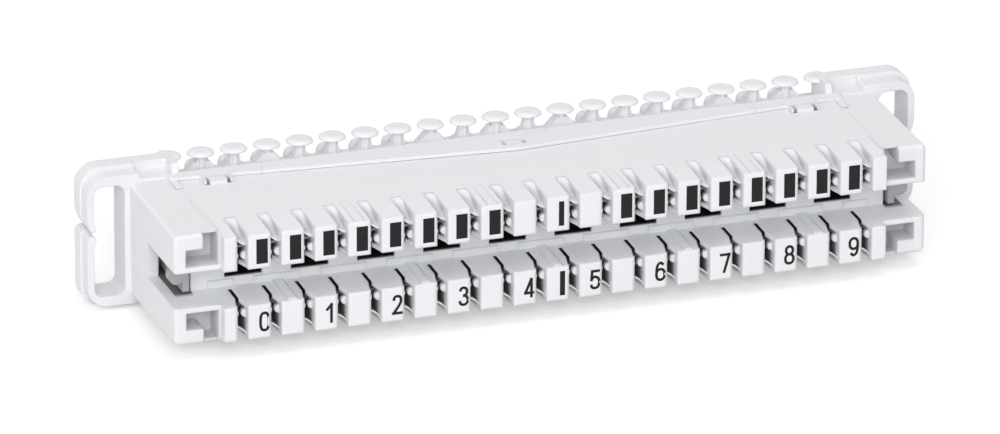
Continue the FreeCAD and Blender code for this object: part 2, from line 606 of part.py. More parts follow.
def lips(body):
    # a shallow V shaped lip above and below, with a window and two open notches for the catches
    side = [(lip_half, "house_deep + lip_thick"), (lip_half, lip_side)]
    room = "(catch_wide/2 + catch_side)"
    for spot, deep in ((f"({catch_at} + {room} + ear_wall)", ""), (f"({catch_at} + {room} + ear_wall)", ear_front),
                       (f"({catch_at} + {room})", ear_front),
                       (f"({catch_at} + {room})", f"{ear_front} + catch_long + catch_gap"),
                       (f"({catch_at} - {room})", f"{ear_front} + catch_long + catch_gap"),
                       (f"({catch_at} - {room})", ear_front),
                       (f"({catch_at} - {room} - ear_wall)", ear_front), (f"({catch_at} - {room} - ear_wall)", "")):
        side.append((spot, deep or f"{lip_mid} + lip_rise*{spot}/{lip_half}"))
    edge = side + [("0", lip_mid)] + [(f"-({along})", deep) for along, deep in reversed(side)]
    window = box_corners(f"-{room}", f"{lip_mid} + catch_back",
                         room, f"{lip_mid} + catch_back + catch_long + 2*catch_gap")
    for name, level, below in (("upper", lip_under, False), ("lower", f"-{lip_under}", True)):
        plan = new_sketch(body, f"{name}_lip_plan", "XY_Plane", offset=level)
        outline(plan, edge)
        outline(plan, window)
        extrude(body, "Pad", f"{name}_lip", plan, "lip_thick", backwards=below)
        pads = new_sketch(body, f"{name}_pad_plan", "XY_Plane", offset=level)
        outline(pads, box_corners(f"{lip_half} - pad_wide", f"{lip_side} - pad_long", lip_half, "house_deep"))
        outline(pads, box_corners(f"-{lip_half}", f"{lip_side} - pad_long",
                                  f"pad_wide - {lip_half}", "house_deep"))
        extrude(body, "Pad", f"{name}_pads", pads, "pad_thick", backwards=below)


def comb(body):
    # comb wall with capped stems in line with the fingers
    peg = first_finger
    foot, bend = "(stem_wide/2 + flare_wide)", "(stem_wide/2 + flare_wide*(1 - cos(45)))"
    low, top = "(valley + flare_tall*(1 - sin(45)))", f"({cap_under} + cap_thick/2)"
    cell = new_sketch(body, "stem_face", "XZ_Plane", offset=f"-{comb_front}")
    half = [("pitch/2", "rear_ledge"), ("pitch/2", "valley"), (foot, "valley"), (bend, low),
            ("stem_wide/2", "valley + flare_tall"), ("stem_wide/2", top)]
    outline(cell, [(f"{peg} - {along}", up) for along, up in half]
            + [(f"{peg} + {along}", up) for along, up in reversed(half)])
    stem = extrude(body, "Pad", "stem", cell, "comb_thick", backwards=True)
    along_block(body, "stems", [stem], "slots - 1", "pitch")
    rib = new_sketch(body, "rib_plan", "XY_Plane", offset="valley")
    outline(rib, many_sided(peg, comb_front, "stem_rib", 6))
    rib_pad = extrude(body, "Pad", "stem_rib_pad", rib, f"{top} - valley")
    along_block(body, "stem_ribs", [rib_pad], "slots - 1", "pitch")

    # straight gussets beside four stems and a broad foot under three
    props = new_sketch(body, "gusset_face", "XZ_Plane", offset=f"-({comb_front} - gusset_proud)")
    for spot in (f"({peg} + 2*pitch)", f"({peg} + 7*pitch)"):
        outline(props, [
            (f"{spot} - stem_wide/2 - gusset", "valley"), (f"{spot} + stem_wide/2 + gusset", "valley"),
            (f"{spot} + stem_wide/2", "valley + gusset"), (f"{spot} - stem_wide/2", "valley + gusset"),
        ])
    prop = extrude(body, "Pad", "gussets", props, "gusset_proud + comb_thick", backwards=True)
    along_block(body, "gusset_row", [prop], "2", "(slots/2 - 1)*pitch")
    feet = new_sketch(body, "foot_face", "XZ_Plane", offset=f"-{comb_front}")
    outline(feet, [
        (f"{peg} - base_wide/2", "valley"), (f"{peg} + base_wide/2", "valley"),
        (f"{peg} + base_top/2", "valley + base_tall"), (f"{peg} - base_top/2", "valley + base_tall"),
    ])
    broad = extrude(body, "Pad", "broad_foot", feet, "comb_thick", backwards=True)
    along_block(body, "broad_feet", [broad], "3", "(slots/2 - 1)*pitch")

    # each cap narrows towards its top
    plate = new_sketch(body, "cap_plan", "XY_Plane", offset=cap_under)
    outline(plate, many_sided("-slots*pitch/2", f"({comb_front} + comb_thick/2)", "cap_size/2", 10))
    cap = extrude(body, "Pad", "cap", plate, "cap_thick")
    cap.setExpression("TaperAngle", bound("-cap_slope"))
    along_block(body, "caps", [cap], "slots + 1", "pitch")


def posts(body):
    # round topped posts behind the comb, in two groups that leave the middle open
    for name, start in (("left", first_finger), ("right", f"(slots*pitch/2 - dome_run*pitch)")):
        face = new_sketch(body, f"{name}_post_face", "XZ_Plane",
                          offset=f"-({full_deep} - dome_set - dome_thick)")
        arch = [(f"{start} + dome_wide/2*cos({turn})", f"dome_high - dome_wide/2*(1 - sin({turn}))")
                for turn in (0, 45, 90, 135, 180)]
        outline(face, [(f"{start} - dome_wide/2", "rear_ledge - run_past"),
                       (f"{start} + dome_wide/2", "rear_ledge - run_past")] + arch)
        post = extrude(body, "Pad", f"{name}_post", face, "dome_thick", backwards=True)
        along_block(body, f"{name}_posts", [post], "dome_run", "pitch")


def ring_outline(top_step, side_step):
    # a cable ring seen from the front: a C whose outer bar is split near its middle
    out, half = f"({ring_out} - {side_step})", f"(ring_half - {top_step})"
    tip = f"({loop_out} - tip_reach)"
    head = f"(({out} - {tip})/2)"
    return [
        (out, "hook_top"), (out, f"{half} - ring_round", "ring_round"),
        (f"{out} - ring_round", half), (f"{ring_in} + trunk_cut", half),
        (ring_in, f"{half} - trunk_cut"), (ring_in, f"-({half} - trunk_cut)"),
        (f"{ring_in} + trunk_cut", f"-{half}"), (f"{out} - ring_round", f"-{half}", "ring_round"),
        (out, f"-({half} - ring_round)"), (out, "head_high", head),
        (f"{tip} + {head}", f"head_high + {head}", head), (tip, "head_high"),
        (loop_out, "head_high - tip_run"), (loop_out, f"-({loop_half} - loop_round)", "-loop_round"),
        (f"{loop_out} - loop_round", f"-{loop_half}"),
        (f"{loop_in} + loop_round", f"-{loop_half}", "-loop_round"),
        (loop_in, f"-({loop_half} - loop_round)"), (loop_in, f"{loop_half} - loop_round", "-loop_round"),
        (f"{loop_in} + loop_round", loop_half), (f"{loop_out} - loop_round", loop_half, "-loop_round"),
        (loop_out, f"{loop_half} - loop_round"), (loop_out, "hook_tip + tip_run"),
        (tip, "hook_tip"), (f"{tip} + hook_wide", "hook_tip - hook_lean", "hook_round"),
    ]


def rings(body):
    pads = []
    for name, start, thick, steps in (("ring_front", "house_deep", "front_layer", ("top_inset", "side_inset")),
                                      ("ring_rear", ring_step, "rear_layer", ("0", "0"))):
        face = new_sketch(body, f"{name}_face", "XZ_Plane", offset=f"-{start}")
        outline(face, ring_outline(*steps))
        pads.append(extrude(body, "Pad", name, face, thick, backwards=True))
    other_end(body, "other_ring", pads)


def rear_housing():
    body = new_body("rear_housing")
    rear_block(body)
    lips(body)
    comb(body)
    posts(body)
    rings(body)
    return body


def contact(name, along, turned):
    # a forked blade at forty five degrees, fused to an upright leaf with its holding strap
    body = new_body(name, along, turned)
    plan = new_sketch(body, f"{name}_plan", "XY_Plane", offset="blade_high", tilted="-tilt")
    edge = "blade_wide/2"
    outline(plan, [
        (f"-{edge}", "blade_front"), ("-jaw_open/2", "blade_front"),
        ("-jaw_gap/2", "blade_front + jaw_lead"), ("-jaw_gap/2", "blade_front + jaw_deep"),
        ("jaw_gap/2", "blade_front + jaw_deep"), ("jaw_gap/2", "blade_front + jaw_lead"),
        ("jaw_open/2", "blade_front"), (edge, "blade_front"),
        (edge, "blade_front + blade_long"), (f"-{edge}", "blade_front + blade_long"),
    ])
    extrude(body, "Pad", f"{name}_blade", plan, "strip_thick", both=True)
    side = new_sketch(body, f"{name}_side", "YZ_Plane", offset="leaf_gap/2")
    outline(side, [
        ("leaf_front", "-leaf_reach"), ("leaf_front + leaf_long", "-leaf_reach"),
        ("leaf_front + leaf_long", "strap_low"), ("house_deep - seat_gap", "strap_low"),
        ("house_deep - seat_gap", strap_high), ("leaf_front", strap_high),
    ])
    extrude(body, "Pad", f"{name}_leaf", side, "strip_thick")
    return body


# front housing, rear housing and a contact for every slot of both rows
sub_parts = [front_housing(), rear_housing()]
for place in range(int(number("slots"))):
    centre = f"{first_slot} + {place}*pitch"
    sub_parts.append(contact(f"upper_contact_{place + 1}", centre, 0))
    sub_parts.append(contact(f"lower_contact_{place + 1}", centre, 180))
doc.recompute()

for item in doc.Objects:
    if "Invalid" in item.State or "Error" in item.State:
        raise RuntimeError(f"{item.Name} is {item.State}")
os.makedirs("parts", exist_ok=True)
for part in sub_parts:
    if part.Shape.isNull() or not part.Shape.isValid():
        raise RuntimeError(f"{part.Label} has no valid shape")
    part.Shape.exportStep(f"parts/{part.Label}.step")
    print(part.Label, len(part.Shape.Solids), round(part.Shape.Volume, 1), part.Shape.BoundBox)
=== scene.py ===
import math

import bpy
import numpy as np
from mathutils import Matrix, Vector


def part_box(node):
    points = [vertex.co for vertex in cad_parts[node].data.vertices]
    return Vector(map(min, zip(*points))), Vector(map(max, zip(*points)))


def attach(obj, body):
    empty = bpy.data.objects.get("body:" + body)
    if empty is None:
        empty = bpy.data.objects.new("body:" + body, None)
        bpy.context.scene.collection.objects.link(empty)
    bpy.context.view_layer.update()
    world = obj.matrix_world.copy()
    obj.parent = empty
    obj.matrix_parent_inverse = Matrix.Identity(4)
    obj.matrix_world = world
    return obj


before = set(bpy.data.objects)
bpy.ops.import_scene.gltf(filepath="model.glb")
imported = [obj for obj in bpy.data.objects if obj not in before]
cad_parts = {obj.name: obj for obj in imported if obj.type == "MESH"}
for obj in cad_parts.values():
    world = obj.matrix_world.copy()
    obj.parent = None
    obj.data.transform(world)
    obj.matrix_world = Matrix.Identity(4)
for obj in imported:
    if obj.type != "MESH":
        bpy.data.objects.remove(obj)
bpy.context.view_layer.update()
print("frame loaded:", len(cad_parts), "nodes")

mm = 0.001
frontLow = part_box("front_housing")[0]
rearLow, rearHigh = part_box("rear_housing")
midHeight = (rearLow.z + rearHigh.z) / 2   # the plane between the two rows
fingerFront = frontLow.y                   # the plane of the finger fronts

row = {
    "pitch": 4.85 * mm,          # slot to slot
    "fingers": 21,
    "fingerWide": 3.3 * mm,
    "edgeCut": 0.36 * mm,        # bevel on the upright edges of a finger front
    "gapHalf": 0.775 * mm,       # half the width of a wire slot
}


def fingerCentre(number):
    return (number - (row["fingers"] - 1) / 2) * row["pitch"]


def slotCentres():
    return (np.arange(row["fingers"] - 1) - row["fingers"] / 2 + 1) * row["pitch"]


# camera

view = {
    "turn": 19.058,              # degrees to the left of straight ahead
    "tilt": 21.717,              # degrees above the horizon
    "roll": 0.19,
    "distance": 1430.55 * mm,
    "target": (-7.13 * mm, -11.39 * mm, 14.38 * mm),
    "lens": 369.64,
    "sensor": 36.0,
    "clip": (0.05, 20),
}


def placeCamera():
    turn, tilt, roll = (math.radians(view[key]) for key in ("turn", "tilt", "roll"))
    ahead = Vector((math.sin(turn) * math.cos(tilt), math.cos(turn) * math.cos(tilt), -math.sin(tilt)))
    side = Vector((math.cos(turn), -math.sin(turn), 0))
    above = side.cross(ahead)
    right = side * math.cos(roll) + above * math.sin(roll)
    up = above * math.cos(roll) - side * math.sin(roll)
    data = bpy.data.cameras.new("photoCamera")
    data.sensor_width, data.lens = view["sensor"], view["lens"]
    data.clip_start, data.clip_end = view["clip"]
    camera = bpy.data.objects.new("photoCamera", data)
    bpy.context.scene.collection.objects.link(camera)
    place = Matrix((right, up, -ahead)).transposed().to_4x4()
    place.translation = Vector(view["target"]) - ahead * view["distance"]
    camera.matrix_world = place
    bpy.context.scene.camera = camera


placeCamera()
print("camera placed")

# materials


def newMaterial(name):
    material = bpy.data.materials.new(name)
    material.use_nodes = True
    nodes, links = material.node_tree.nodes, material.node_tree.links
    shader = nodes["Principled BSDF"]
    place = nodes.new("ShaderNodeTexCoord")
    return material, nodes, links, shader, place.outputs["Object"]


def arithmetic(nodes, links):
    # a short way to write a Math node
    def work(operation, *values):
        node = nodes.new("ShaderNodeMath")
        node.operation = operation
        for socket, value in zip(node.inputs, values):
            if isinstance(value, (int, float)):
                socket.default_value = value
            else:
                links.new(value, socket)
        return node.outputs[0]
    return work


def rising(nodes, links, value, start, end):
    # a smooth step from 0 at start to 1 at end
    step = nodes.new("ShaderNodeMapRange")
    step.interpolation_type = "SMOOTHSTEP"
    step.inputs["From Min"].default_value, step.inputs["From Max"].default_value = start, end
    links.new(value, step.inputs["Value"])
    return step.outputs["Result"]


def spread(nodes, links, value, ends, fromEnds=(0, 1)):
    # a straight line from the first of the two ends to the second
    line = nodes.new("ShaderNodeMapRange")
    line.inputs["From Min"].default_value, line.inputs["From Max"].default_value = fromEnds
    line.inputs["To Min"].default_value, line.inputs["To Max"].default_value = ends
    links.new(value, line.inputs["Value"])
    return line.outputs["Result"]


def cloud(nodes, links, vector, scale, detail=2):
    noise = nodes.new("ShaderNodeTexNoise")
    noise.inputs["Scale"].default_value = scale
    noise.inputs["Detail"].default_value = detail
    links.new(vector, noise.inputs["Vector"])
    return noise.outputs["Fac"]


def mixed(nodes, links, share, first, second):
    # from the first colour to the second, which is always a fixed one
    mix = nodes.new("ShaderNodeMix")
    mix.data_type = "RGBA"
    links.new(share, mix.inputs["Factor"])
    if isinstance(first, tuple):
        mix.inputs["A"].default_value = (*first, 1)
    else:
        links.new(first, mix.inputs["A"])
    mix.inputs["B"].default_value = (*second, 1)
    return mix.outputs["Result"]


def rowPlace(nodes, links, place):
    # where a point lies: along the block, depth behind the finger fronts, height over the middle plane
    axes = nodes.new("ShaderNodeSeparateXYZ")
    links.new(place, axes.inputs[0])
    work = arithmetic(nodes, links)
    deep = work("SUBTRACT", axes.outputs["Y"], fingerFront)
    high = work("SUBTRACT", axes.outputs["Z"], midHeight)
    return axes.outputs["X"], deep, high


# painted shade in rooms that little light reaches: where they begin and end along the block, in depth and
# in height;
# three depths are where a shade begins, where it is full and where it ends. The shades of the windows,
# the side rooms and the sockets have no far end, so that they darken the back face of the block too
hollow = {
    # painted shade colours: near black in the deepest rooms, dark grey in the space before the contacts,
    # grey on the ramps
    "colour": (0.018, 0.017, 0.015),
    "spacePaintedShade": (0.13, 0.125, 0.11),
    "rampPaintedShade": (0.30, 0.30, 0.305),   # painted shade on the lower part of the wire ramps
    "soft": 0.03 * mm,
    "rowReach": 48.8 * mm,
    "windowHalf": 2.6 * mm,              # painted shade in the test windows and the rooms behind them
    "windowDeep": (7.85 * mm, 8.5 * mm),
    "spaceLow": 3.25 * mm,               # painted shade in the space before each contact, up to the slanted end of its ramp
    "spaceHigh": 6.40 * mm,
    "spaceSlant": 0.76,
    "spaceDeep": (2.2 * mm, 3.6 * mm, 5.1 * mm),
    "rampTop": 8.05 * mm,                # painted shade on the wire ramps, darker the further they lie below the outer face
    "rampDrop": (0.0 * mm, 1.1 * mm),
    "rampDeep": (1.2 * mm, 2.6 * mm, 7.0 * mm),
    "rampLow": 4.9 * mm,
    "rampSide": (0.5 * mm, -0.6 * mm),   # and darker on the side that their lower end drops away from
    "rampEven": 0.25,                    # the share of that shade that both sides have
    "slitHalf": 0.26 * mm,               # painted shade in the slit behind the funnel
    "slitDeep": (2.7 * mm, 3.3 * mm, 6.5 * mm),
    "slitHigh": (2.3 * mm, 3.35 * mm),
    "room": (51.3 * mm, 53.9 * mm),      # painted shade in the side room round the tongue
    "roomHalf": 2.7 * mm,
    "roomDeep": (5.8 * mm, 7.4 * mm),
    "roomFloor": 2.2 * mm,
    "roomShade": (0.45, 0.85),           # its walls, its floor
    "tongue": (51.6 * mm, 54.75 * mm),   # painted shade on the tongue and its snap bead
    "tongueHalf": 2.4 * mm,
    "tongueDeep": (6.6 * mm, 12 * mm),
    "tongueShade": 0.52,
    "socket": (49.0 * mm, 53.87 * mm),   # painted shade in the stepped sockets in the end blocks
    "socketHigh": (3.35 * mm, 7.9 * mm),
    "socketDeep": (0.9 * mm, 5.0 * mm),
    "socketShade": 0.2,
    "catchAt": 43.65 * mm,               # painted shade in the gaps at the ends of the outer catches
    "catchGap": (1.27 * mm, 1.78 * mm),
    "catchDeep": (18.7 * mm, 20.3 * mm),
    "catchHigh": (8.1 * mm, 8.45 * mm),
    "catchShade": 0.75,
}


def hollowShade(nodes, links, along, deep, high):
    # how much painted shade each kind of room gets, from how far a point lies inside it, as products of
    # smooth steps
    work = arithmetic(nodes, links)
    near, far, soft = work("ABSOLUTE", high), work("ABSOLUTE", along), hollow["soft"]

    def below(value, limit):
        return rising(nodes, links, value, limit + soft, limit - soft)

    def above(value, limit):
        return rising(nodes, links, value, limit - soft, limit + soft)

    def between(value, limits):
        return work("MULTIPLY", above(value, limits[0]), below(value, limits[1]))

    def deeper(start, full, end=None):
        step = rising(nodes, links, deep, start, full)
        return step if end is None else work("MULTIPLY", step, below(deep, end))

    def joined(operation, first, *others):
        for other in others:
            first = work(operation, first, other)
        return first

    inRow = below(far, hollow["rowReach"])
    window = joined("MULTIPLY", deeper(*hollow["windowDeep"]), below(near, hollow["windowHalf"]), inRow)

    cell = work("FLOOR", work("DIVIDE", along, row["pitch"]))
    across = work("SUBTRACT", along, work("MULTIPLY", work("ADD", cell, 0.5), row["pitch"]))
    aside = work("ABSOLUTE", across)
    side = work("MULTIPLY", work("SIGN", high), across)
    inSlot = below(aside, row["gapHalf"] + soft)
    slanted = work("ADD", work("MULTIPLY", side, hollow["spaceSlant"]), near)
    space = joined("MULTIPLY", inSlot, below(slanted, hollow["spaceHigh"]), above(near, hollow["spaceLow"]),
                   deeper(*hollow["spaceDeep"]), inRow)

    drop = rising(nodes, links, work("SUBTRACT", hollow["rampTop"], near), *hollow["rampDrop"])
    uneven = rising(nodes, links, side, *hollow["rampSide"])
    uneven = work("MULTIPLY_ADD", uneven, 1 - hollow["rampEven"], hollow["rampEven"])
    paintedRampShade = joined("MULTIPLY", inSlot, uneven, drop, deeper(*hollow["rampDeep"]),
                     above(near, hollow["rampLow"]), inRow)

    slit = joined("MULTIPLY", below(aside, hollow["slitHalf"]), deeper(*hollow["slitDeep"]),
                  between(near, hollow["slitHigh"]), inRow)

    wallShade, floorShade = hollow["roomShade"]
    shade = work("MAXIMUM", work("MULTIPLY", below(high, -hollow["roomFloor"]), floorShade), wallShade)
    room = joined("MULTIPLY", between(far, hollow["room"]), below(near, hollow["roomHalf"]),
                  deeper(*hollow["roomDeep"]), shade)
    tongue = joined("MULTIPLY", between(far, hollow["tongue"]), below(near, hollow["tongueHalf"]),
                    between(deep, hollow["tongueDeep"]), hollow["tongueShade"])
    socket = joined("MULTIPLY", between(far, hollow["socket"]), between(near, hollow["socketHigh"]),
                    deeper(*hollow["socketDeep"]), hollow["socketShade"])

    catchEnd = work("ABSOLUTE", work("SUBTRACT", far, hollow["catchAt"]))
    catchEnd = joined("MULTIPLY", between(catchEnd, hollow["catchGap"]), between(deep, hollow["catchDeep"]),
                      between(near, hollow["catchHigh"]), hollow["catchShade"])
    return joined("MAXIMUM", window, slit, room, tongue, socket, catchEnd), space, paintedRampShade


panelLines = {
    "wide": 0.11 * mm,
    "full": 0.3,                     # share of that width where a line is at its deepest
    "deep": 0.05 * mm,
    "above": 7 * mm,                 # only on the upper outer face
    # along, depth at both ends of each line
    "lines": [((5.9, 21.9), (6.6, 25.4)), ((1.95, 21.93), (5.9, 21.9)), ((-5.9, 21.9), (-6.6, 25.4)),
              ((37.0, 19.8), (35.6, 24.5)), ((-37.0, 19.8), (-35.6, 24.5)),
              ((49.3, 4.0), (49.3, 16.0)), ((-49.3, 4.0), (-49.3, 16.0))],
}


def lineRelief(nodes, links, along, deep, high):
    # 1 in the lines, 0 away from them: distance from each line, and how far along it
    work, wide = arithmetic(nodes, links), panelLines["wide"]
    relief = 0.0
    for ends in panelLines["lines"]:
        start, end = np.array(ends) * mm
        length = float(np.linalg.norm(end - start))
        wayAlong, wayDeep = ((end - start) / length).tolist()
        x, y = work("SUBTRACT", along, float(start[0])), work("SUBTRACT", deep, float(start[1]))
        aside = work("SUBTRACT", work("MULTIPLY", x, wayDeep), work("MULTIPLY", y, wayAlong))
        ahead = work("ADD", work("MULTIPLY", x, wayAlong), work("MULTIPLY", y, wayDeep))
        within = work("LESS_THAN", work("ABSOLUTE", work("SUBTRACT", ahead, length / 2)), length / 2)
        line = rising(nodes, links, work("ABSOLUTE", aside), wide, panelLines["full"] * wide)
        relief = work("MAXIMUM", relief, work("MULTIPLY", line, within))
    return work("MULTIPLY", relief, work("GREATER_THAN", high, panelLines["above"]))


plastic = {
    "colour": (0.82, 0.83, 0.85),
    "shade": (0.795, 0.805, 0.825),       # where the moulding flows a little greyer
    "flowScale": 90,
    "roughness": (0.42, 0.52),
    "specular": 0.4,
    "softEdge": (0.20 * mm, 0.42 * mm),   # moulded edges are never sharp, at the fingers least of all
    "softDeep": (8.0 * mm, 6.5 * mm),
    "edgeSamples": 6,
    "grain": 0.035,
    "grainDeep": 0.05 * mm,
    "grainScale": 5200,
}


def mouldedPlastic():
    material, nodes, links, shader, place = newMaterial("mouldedPlastic")
    along, deep, high = rowPlace(nodes, links, place)
    flow = cloud(nodes, links, place, plastic["flowScale"], detail=3)
    colour = mixed(nodes, links, flow, plastic["colour"], plastic["shade"])
    # painted shade: the deepest rooms, the space before the contacts and the ramps are darkened in the base
    # colour
    deepest, space, paintedRampShade = hollowShade(nodes, links, along, deep, high)
    for share, dark in ((paintedRampShade, "rampPaintedShade"), (space, "spacePaintedShade"), (deepest, "colour")):
        colour = mixed(nodes, links, share, colour, hollow[dark])
    links.new(colour, shader.inputs["Base Color"])
    links.new(spread(nodes, links, flow, plastic["roughness"]), shader.inputs["Roughness"])
    shader.inputs["Specular IOR Level"].default_value = plastic["specular"]

    edge = nodes.new("ShaderNodeBevel")
    edge.samples = plastic["edgeSamples"]
    links.new(spread(nodes, links, deep, plastic["softEdge"], plastic["softDeep"]), edge.inputs["Radius"])
    lines = nodes.new("ShaderNodeBump")
    lines.invert = True
    lines.inputs["Strength"].default_value = 1
    lines.inputs["Distance"].default_value = panelLines["deep"]
    links.new(lineRelief(nodes, links, along, deep, high), lines.inputs["Height"])
    links.new(edge.outputs["Normal"], lines.inputs["Normal"])
    grain = nodes.new("ShaderNodeBump")
    grain.inputs["Strength"].default_value = plastic["grain"]
    grain.inputs["Distance"].default_value = plastic["grainDeep"]
    links.new(cloud(nodes, links, place, plastic["grainScale"]), grain.inputs["Height"])
    links.new(lines.outputs["Normal"], grain.inputs["Normal"])
    links.new(grain.outputs["Normal"], shader.inputs["Normal"])
    return material


strip = {
    "colour": (0.97, 0.97, 0.955),
    "dull": (0.86, 0.85, 0.83),
    "roughness": (0.26, 0.40),
    "metallic": 0.85,
    "specular": 0.9,
    "rolled": (900, 900, 5200),       # faint rolling lines along the strip
    "inShade": (0.02, 0.02, 0.018),   # painted shade deep inside the housing
    "shadeDeep": (3.6 * mm, 5.2 * mm),
}


def contactMetal():
    material, nodes, links, shader, place = newMaterial("contactMetal")
    stretch = nodes.new("ShaderNodeMapping")
    stretch.inputs["Scale"].default_value = strip["rolled"]
    links.new(place, stretch.inputs["Vector"])
    lines = cloud(nodes, links, stretch.outputs["Vector"], 1, detail=4)
    colour = mixed(nodes, links, lines, strip["colour"], strip["dull"])
    deep = rowPlace(nodes, links, place)[1]
    # painted shade: the strip darkens to near black deeper inside the housing
    inside = rising(nodes, links, deep, *strip["shadeDeep"])
    links.new(mixed(nodes, links, inside, colour, strip["inShade"]), shader.inputs["Base Color"])
    links.new(spread(nodes, links, lines, strip["roughness"]), shader.inputs["Roughness"])
    shader.inputs["Metallic"].default_value = strip["metallic"]
    shader.inputs["Specular IOR Level"].default_value = strip["specular"]
    return material


ink = {
    "colour": (0.0095, 0.0095, 0.0115),
    "worn": (0.015, 0.015, 0.017),
    "roughness": 0.6,
    "specular": 0.2,
    "scale": 2600,
}


def printInk():
    material, nodes, links, shader, place = newMaterial("printInk")
    cover = cloud(nodes, links, place, ink["scale"])
    links.new(mixed(nodes, links, cover, ink["colour"], ink["worn"]), shader.inputs["Base Color"])
    shader.inputs["Roughness"].default_value = ink["roughness"]
    shader.inputs["Specular IOR Level"].default_value = ink["specular"]
    return material


whitePlastic, silverStrip, blackInk = mouldedPlastic(), contactMetal(), printInk()
for name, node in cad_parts.items():
    node.data.materials.clear()
    node.data.materials.append(silverStrip if "contact" in name else whitePlastic)
print("materials set")


def addPiece(name, points, faces, material, smooth=False):
    mesh = bpy.data.meshes.new(name)
    mesh.from_pydata(points.tolist(), [], faces)
    mesh.materials.append(material)
    if smooth:
        mesh.shade_smooth()
    mesh.update()
    piece = bpy.data.objects.new(name, mesh)
    bpy.context.scene.collection.objects.link(piece)
    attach(piece, "root")
    return piece


# moulded shapes that finish the plain solids


def revolved(profile, steps):
    # a profile of radius and height turned about the upright axis, with a pole at each end
    turn = np.linspace(0, 2 * np.pi, steps, endpoint=False)
    radius, height = np.array(profile, float)[1:-1].T
    rings = np.stack([np.outer(radius, np.cos(turn)), np.outer(radius, np.sin(turn)),
                      np.repeat(height[:, None], steps, 1)], 2)
    points = np.concatenate([[[0, 0, profile[0][1]]], rings.reshape(-1, 3), [[0, 0, profile[-1][1]]]])
    here = np.arange(steps)
    after = (here + 1) % steps
    first = 1 + steps * np.arange(len(radius) - 1)[:, None]
    sides = np.stack([first + here, first + after, first + steps + after, first + steps + here], 2)
    last = 1 + steps * (len(radius) - 1)
    faces = sides.reshape(-1, 4).tolist()
    faces += np.stack([0 * here, 1 + after, 1 + here], 1).tolist()
    faces += np.stack([0 * here + len(points) - 1, last + here, last + after], 1).tolist()
    return points, faces


def layDown(points):
    # the upright axis turned to point to the back
    return np.stack([points[:, 0], points[:, 2], -points[:, 1]], 1)


def repeated(points, faces, places):
    # the same small shape at each of the places
    copies = points[None] + np.array(places, float)[:, None]
    copiedFaces = [[corner + len(points) * copy for corner in face]
                   for copy in range(len(places)) for face in faces]
    return copies.reshape(-1, 3), copiedFaces


def atRow(along, deep, high):
    # from the row's own measures to the frame
    return along, fingerFront + deep, midHeight + high


bead = {
    "radius": 0.605 * mm,
    "high": 4.3 * mm,                # above and below the middle plane
    "front": 1.62 * mm,
    "back": 2.6 * mm,
    "nose": 0.14 * mm,               # rounding of the front edge
    "noseSteps": 4,
    "steps": 20,                     # faces round it
}


def addBeads():
    # a short round peg whose front edge is a quarter circle
    nose, radius = bead["nose"], bead["radius"]
    turn = np.linspace(0, np.pi / 2, bead["noseSteps"])
    profile = [(0, bead["front"])]
    profile += list(zip(radius - nose + nose * np.sin(turn), bead["front"] + nose - nose * np.cos(turn)))
    profile += [(radius, bead["back"]), (0, bead["back"])]
    points, faces = revolved(profile, bead["steps"])
    for rowName, high in (("upper", bead["high"]), ("lower", -bead["high"])):
        places = [atRow(centre + side * row["gapHalf"], 0, high)
                  for centre in slotCentres() for side in (-1, 1)]
        copies = repeated(layDown(points), faces, places)
        addPiece(f"{rowName}_wire_beads", *copies, whitePlastic, smooth=True)


ramp = {
    "front": 1.3 * mm,               # depth of its lower end
    "end": 6.75 * mm,
    # depth and height of its middle
    "line": ((1.3 * mm, 6.50 * mm), (4.1 * mm, 6.86 * mm), (6.6 * mm, 8.135 * mm)),
    "ease": 0.08 * mm,               # how softly its two runs meet
    "slant": 0.76,                   # its lower end drops to the right
    "groove": 0.795 * mm,            # radius of the round groove at its upper end
    "grooveShare": (0.3, 0.85),      # how much of the groove shows at its lower end, and at most
    "skew": 0.15,
    "thick": 0.25 * mm,
    "face": (8.05 * mm, 0.0311),     # outer face of the fingers, and how much it rises with depth
    "faceFrom": 4.6 * mm,
    "proud": 0.012 * mm,
    "grid": (18, 13),                # points along it and across it
}


def onRamp(across, deep):
    # two softened straight runs; across them a slanted line in front that turns into a round groove behind
    (startDeep, startHigh), (midDeep, midHigh), (endDeep, endHigh) = ramp["line"]
    low = startHigh + (deep - startDeep) * (midHigh - startHigh) / (midDeep - startDeep)
    steep = midHigh + (deep - midDeep) * (endHigh - midHigh) / (endDeep - midDeep)
    middle = (low + steep) / 2 + np.sqrt((low - steep) ** 2 / 4 + ramp["ease"] ** 2)
    share = np.clip((deep - ramp["front"]) / (ramp["end"] - ramp["front"]), 0, 1)
    groove = ramp["groove"] - np.sqrt(ramp["groove"] ** 2 - across ** 2) + ramp["skew"] * across
    least, most = ramp["grooveShare"]
    high = middle - ramp["slant"] * across * (1 - share) ** 2 + groove * np.minimum(most, least + share)
    face = ramp["face"][0] + ramp["face"][1] * (deep - ramp["faceFrom"])
    return np.minimum(high, face + ramp["proud"])


def closedSheet(upper, lower):
    # two sheets over the same grid, joined round their rims
    rows, columns = upper.shape[:2]
    count = rows * columns
    grid = np.arange(count).reshape(rows, columns)
    a, b, c, d = grid[:-1, :-1], grid[:-1, 1:], grid[1:, 1:], grid[1:, :-1]
    over = np.stack([a, b, c, d], 2).reshape(-1, 4)
    rim = np.concatenate([grid[0], grid[1:, -1], grid[-1, -2::-1], grid[-2:0:-1, 0]])
    after = np.roll(rim, -1)
    wall = np.stack([rim, rim + count, after + count, after], 1)
    faces = np.concatenate([over, over[:, ::-1] + count, wall])
    return np.concatenate([upper.reshape(-1, 3), lower.reshape(-1, 3)]), faces.tolist()


